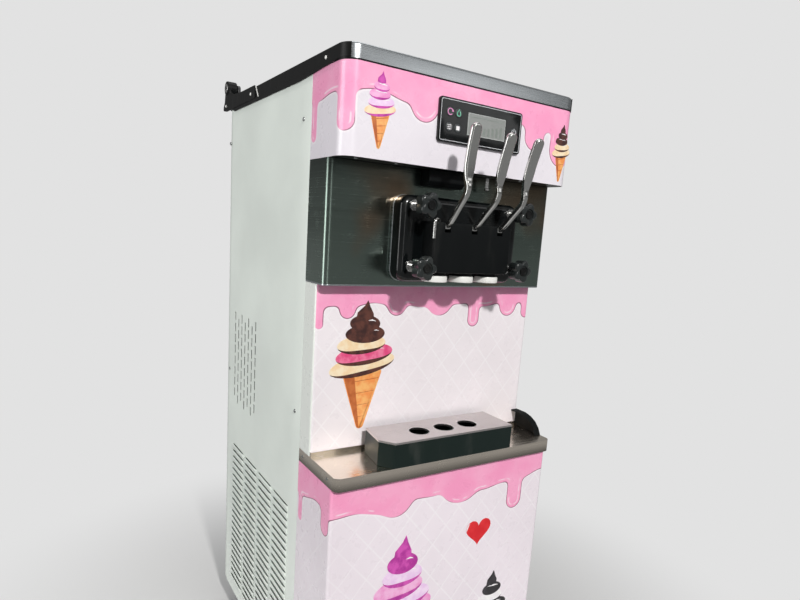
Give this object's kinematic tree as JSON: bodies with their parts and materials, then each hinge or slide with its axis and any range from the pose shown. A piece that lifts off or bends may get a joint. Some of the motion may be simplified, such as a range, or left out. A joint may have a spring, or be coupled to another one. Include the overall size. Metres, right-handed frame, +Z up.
{
  "type": "soft serve machine",
  "caption": "Floor-standing soft serve machine with draw levers over a dispensing head, mix hoppers under a hinged cover, a drip tray on a shelf and casters.",
  "frame": {"origin": "on the floor, under the middle of the machine's overall box", "axes": "+Z up, -Y towards the customer (the front with the levers), +X to the operator's right as they face the front"},
  "size_m": [0.554, 0.8258, 1.451],
  "materials": {
    "side_paint": "satin light grey-green paint",
    "header_paint": "pink printed enamel with pale icing drips",
    "front_paint": "pale lavender-white printed enamel",
    "stainless": "brushed stainless, grain across",
    "cover_steel": "brushed stainless",
    "black_gloss": "gloss black",
    "display": "grey liquid crystal window",
    "button": "satin",
    "polished_steel": "polished stainless",
    "lever_chrome": "bright polished stainless",
    "caster_zinc": "bright zinc plate",
    "caster_tyre": "dark grey rubber",
    "black_plastic": "fine moulded texture",
    "tray_plastic": "dark green-black moulded plastic",
    "white_plastic": "food-safe white plastic",
    "foam": "rigid insulating foam",
    "hinge_steel": "black enamel",
    "motor_enamel": "black enamel",
    "galvanised": "galvanised sheet",
    "fin_aluminium": "bare fins"
  },
  "bodies": {
    "cabinet": {"base_tray": "galvanised", "left_side_panel": "side_paint", "right_side_panel": "side_paint", "back_panel": "side_paint", "header_panel": "header_paint", "splash_band": "stainless", "mid_panel": "front_paint", "drip_shelf": "stainless", "splash_guard": "black_plastic", "lower_front_panel": "front_paint", "control_bezel": "black_gloss", "display_window": "display", "hopper_deck": "stainless", "left_hopper": "polished_steel", "right_hopper": "polished_steel", "left_cover_hinge": "hinge_steel", "right_cover_hinge": "hinge_steel", "machine_deck": "galvanised", "insulation_block": "foam", "left_freezing_cylinder": "polished_steel", "right_freezing_cylinder": "polished_steel", "left_gear_motor": "motor_enamel", "right_gear_motor": "motor_enamel", "compressor": "motor_enamel", "condenser": "fin_aluminium", "fan_shroud": "galvanised", "power_inlet": "black_plastic", "switch_housing": "black_plastic", "dispensing_head": "black_gloss", "lever_pin": "lever_chrome"},
    "top_cover": {"top_cover": "cover_steel"},
    "left_dasher": {"left_dasher": "polished_steel"},
    "right_dasher": {"right_dasher": "polished_steel"},
    "condenser_fan": {"condenser_fan": "black_plastic"},
    "left_lever": {"left_lever": "lever_chrome"},
    "middle_lever": {"middle_lever": "lever_chrome"},
    "right_lever": {"right_lever": "lever_chrome"},
    "left_plunger": {"left_plunger": "white_plastic"},
    "middle_plunger": {"middle_plunger": "white_plastic"},
    "right_plunger": {"right_plunger": "white_plastic"},
    "upper_left_clamp_screw": {"upper_left_clamp_screw": "black_plastic"},
    "upper_right_clamp_screw": {"upper_right_clamp_screw": "black_plastic"},
    "lower_left_clamp_screw": {"lower_left_clamp_screw": "black_plastic"},
    "lower_right_clamp_screw": {"lower_right_clamp_screw": "black_plastic"},
    "drip_tray": {"drip_tray": "tray_plastic"},
    "drip_tray_cover": {"drip_tray_cover": "polished_steel"},
    "auto_button": {"auto_button": "button"},
    "wash_button": {"wash_button": "button"},
    "set_button": {"set_button": "button"},
    "stop_button": {"stop_button": "button"},
    "power_button": {"power_button": "button"},
    "front_left_caster_fork": {"front_left_caster_fork": "caster_zinc"},
    "front_left_caster_wheel": {"front_left_caster_wheel": "caster_tyre"},
    "front_right_caster_fork": {"front_right_caster_fork": "caster_zinc"},
    "front_right_caster_wheel": {"front_right_caster_wheel": "caster_tyre"},
    "rear_left_caster_fork": {"rear_left_caster_fork": "caster_zinc"},
    "rear_left_caster_wheel": {"rear_left_caster_wheel": "caster_tyre"},
    "rear_right_caster_fork": {"rear_right_caster_fork": "caster_zinc"},
    "rear_right_caster_wheel": {"rear_right_caster_wheel": "caster_tyre"}
  },
  "joints": [
    {"name": "top_cover_hinge", "type": "hinge", "parent": "cabinet", "child": "top_cover", "pos_m": [0, 0.38, 1.434], "axis": [-1, 0, 0], "range_deg": [0, 100]},
    {"name": "left_lever_pivot", "type": "hinge", "parent": "cabinet", "child": "left_lever", "pos_m": [-0.056, -0.315, 1.12], "axis": [1, 0, 0], "range_deg": [0, 45]},
    {"name": "left_plunger_slide", "type": "slide", "parent": "cabinet", "child": "left_plunger", "axis": [0, 0, 1], "range_m": [0, 0.0207]},
    {"name": "middle_lever_pivot", "type": "hinge", "parent": "cabinet", "child": "middle_lever", "pos_m": [0.008, -0.315, 1.12], "axis": [1, 0, 0], "range_deg": [0, 45]},
    {"name": "middle_plunger_slide", "type": "slide", "parent": "cabinet", "child": "middle_plunger", "axis": [0, 0, 1], "range_m": [0, 0.0207]},
    {"name": "right_lever_pivot", "type": "hinge", "parent": "cabinet", "child": "right_lever", "pos_m": [0.072, -0.315, 1.12], "axis": [1, 0, 0], "range_deg": [0, 45]},
    {"name": "right_plunger_slide", "type": "slide", "parent": "cabinet", "child": "right_plunger", "axis": [0, 0, 1], "range_m": [0, 0.0207]},
    {"name": "upper_left_clamp_screw_turn", "type": "hinge", "parent": "cabinet", "child": "upper_left_clamp_screw", "pos_m": [-0.11, -0.315, 1.155], "axis": [0, 1, 0], "continuous": true},
    {"name": "upper_right_clamp_screw_turn", "type": "hinge", "parent": "cabinet", "child": "upper_right_clamp_screw", "pos_m": [0.126, -0.315, 1.155], "axis": [0, 1, 0], "continuous": true},
    {"name": "lower_left_clamp_screw_turn", "type": "hinge", "parent": "cabinet", "child": "lower_left_clamp_screw", "pos_m": [-0.11, -0.315, 1.042], "axis": [0, 1, 0], "continuous": true},
    {"name": "lower_right_clamp_screw_turn", "type": "hinge", "parent": "cabinet", "child": "lower_right_clamp_screw", "pos_m": [0.126, -0.315, 1.042], "axis": [0, 1, 0], "continuous": true},
    {"name": "left_dasher_spin", "type": "hinge", "parent": "cabinet", "child": "left_dasher", "pos_m": [-0.052, -0.125, 1.098], "axis": [0, 1, 0], "continuous": true},
    {"name": "right_dasher_spin", "type": "hinge", "parent": "cabinet", "child": "right_dasher", "pos_m": [0.068, -0.125, 1.098], "axis": [0, 1, 0], "continuous": true},
    {"name": "condenser_fan_spin", "type": "hinge", "parent": "cabinet", "child": "condenser_fan", "pos_m": [-0.197, 0.085, 0.3], "axis": [1, 0, 0], "continuous": true},
    {"name": "drip_tray_slide", "type": "slide", "parent": "cabinet", "child": "drip_tray", "axis": [0, -1, 0], "range_m": [0, 0.08]},
    {"name": "drip_tray_cover_lift", "type": "slide", "parent": "drip_tray", "child": "drip_tray_cover", "axis": [0, 0, 1], "range_m": [0, 0.06]},
    {"name": "auto_button_press", "type": "slide", "parent": "cabinet", "child": "auto_button", "axis": [0, 1, 0], "range_m": [0, 0.0012], "stiffness_N_per_m": 300},
    {"name": "wash_button_press", "type": "slide", "parent": "cabinet", "child": "wash_button", "axis": [0, 1, 0], "range_m": [0, 0.0012], "stiffness_N_per_m": 300},
    {"name": "set_button_press", "type": "slide", "parent": "cabinet", "child": "set_button", "axis": [0, 1, 0], "range_m": [0, 0.0012], "stiffness_N_per_m": 300},
    {"name": "stop_button_press", "type": "slide", "parent": "cabinet", "child": "stop_button", "axis": [0, 1, 0], "range_m": [0, 0.0012], "stiffness_N_per_m": 300},
    {"name": "power_button_press", "type": "slide", "parent": "cabinet", "child": "power_button", "axis": [0, 1, 0], "range_m": [0, 0.0012], "stiffness_N_per_m": 300},
    {"name": "front_left_caster_swivel", "type": "hinge", "parent": "cabinet", "child": "front_left_caster_fork", "pos_m": [-0.215, -0.265, 0.075], "axis": [0, 0, 1], "continuous": true},
    {"name": "front_left_caster_roll", "type": "hinge", "parent": "front_left_caster_fork", "child": "front_left_caster_wheel", "pos_m": [-0.215, -0.243, 0.03], "axis": [1, 0, 0], "continuous": true},
    {"name": "front_right_caster_swivel", "type": "hinge", "parent": "cabinet", "child": "front_right_caster_fork", "pos_m": [0.215, -0.265, 0.075], "axis": [0, 0, 1], "continuous": true},
    {"name": "front_right_caster_roll", "type": "hinge", "parent": "front_right_caster_fork", "child": "front_right_caster_wheel", "pos_m": [0.215, -0.243, 0.03], "axis": [1, 0, 0], "continuous": true},
    {"name": "rear_left_caster_swivel", "type": "hinge", "parent": "cabinet", "child": "rear_left_caster_fork", "pos_m": [-0.215, 0.2975, 0.075], "axis": [0, 0, 1], "continuous": true},
    {"name": "rear_left_caster_roll", "type": "hinge", "parent": "rear_left_caster_fork", "child": "rear_left_caster_wheel", "pos_m": [-0.215, 0.3195, 0.03], "axis": [1, 0, 0], "continuous": true},
    {"name": "rear_right_caster_swivel", "type": "hinge", "parent": "cabinet", "child": "rear_right_caster_fork", "pos_m": [0.215, 0.2975, 0.075], "axis": [0, 0, 1], "continuous": true},
    {"name": "rear_right_caster_roll", "type": "hinge", "parent": "rear_right_caster_fork", "child": "rear_right_caster_wheel", "pos_m": [0.215, 0.3195, 0.03], "axis": [1, 0, 0], "continuous": true}
  ],
  "couplings": [
    {"joint": "left_plunger_slide", "follows": "left_lever_pivot", "m_per_rad": 0.0263},
    {"joint": "middle_plunger_slide", "follows": "middle_lever_pivot", "m_per_rad": 0.0263},
    {"joint": "right_plunger_slide", "follows": "right_lever_pivot", "m_per_rad": 0.0263}
  ]
}
